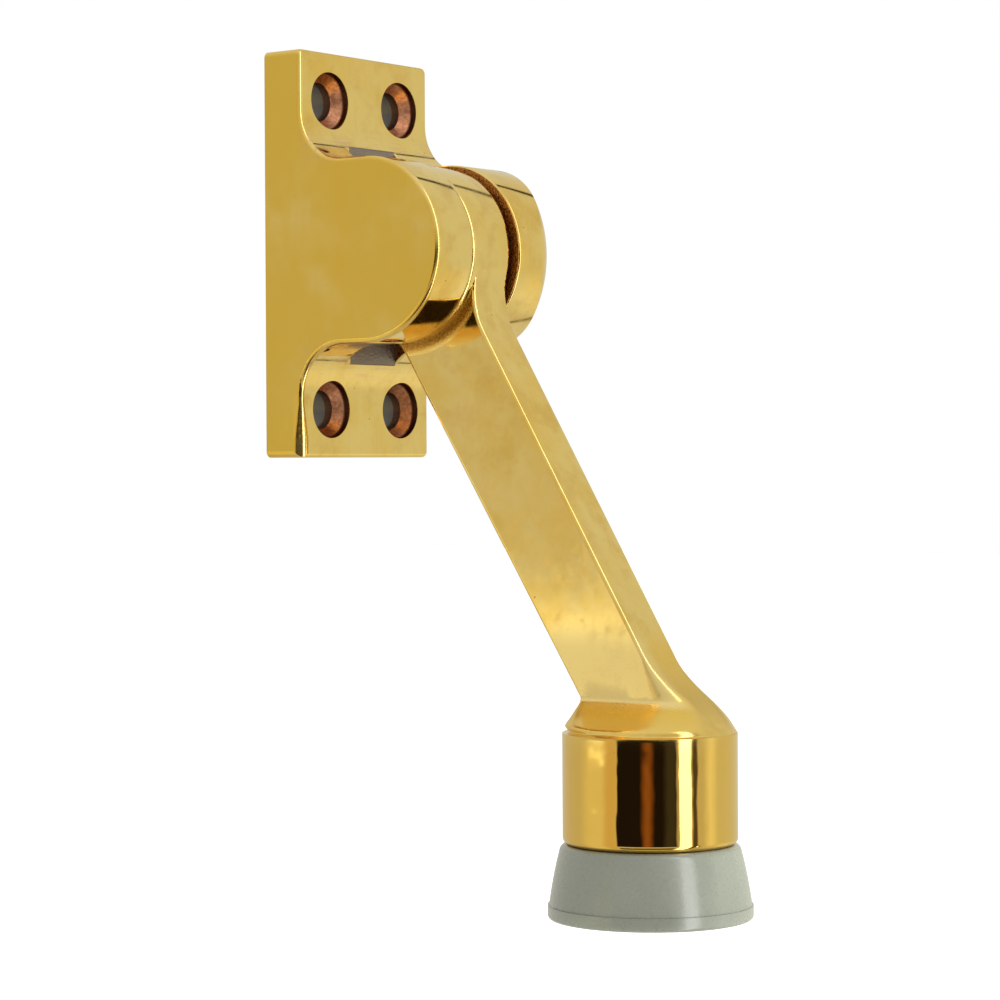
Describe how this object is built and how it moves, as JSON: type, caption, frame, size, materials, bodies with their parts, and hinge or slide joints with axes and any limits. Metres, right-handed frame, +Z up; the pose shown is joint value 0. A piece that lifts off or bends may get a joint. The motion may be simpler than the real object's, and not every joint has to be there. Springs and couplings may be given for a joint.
{
  "type": "door holder",
  "caption": "Kick-down door holder: a bracket with two cheeks carries a friction-held swinging arm that ends in a cup with a rubber foot.",
  "frame": {"origin": "centre of the bracket's back face, in the plane of the door face", "axes": "+Y into the door, +Z up along the bracket, X along the pivot axis"},
  "size_m": [0.0322, 0.0775, 0.1322],
  "materials": {
    "bracket_brass": "polished",
    "arm_brass": "polished",
    "pin_brass": "polished",
    "washer_bronze": "satin",
    "spring_steel": "satin",
    "foot_rubber": "matt",
    "screw_steel": "satin"
  },
  "bodies": {
    "bracket": {"bracket": "bracket_brass", "pivot_pin": "pin_brass", "friction_washer": "washer_bronze", "disc_spring_inner": "spring_steel", "disc_spring_outer": "spring_steel"},
    "arm": {"arm": "arm_brass", "rubber_foot": "foot_rubber", "foot_washer": "screw_steel", "foot_screw": "screw_steel"}
  },
  "joints": [
    {"name": "arm_swing", "type": "hinge", "parent": "bracket", "child": "arm", "pos_m": [0, -0.02, 0], "axis": [-1, 0, 0], "range_deg": [-20, 150]}
  ]
}
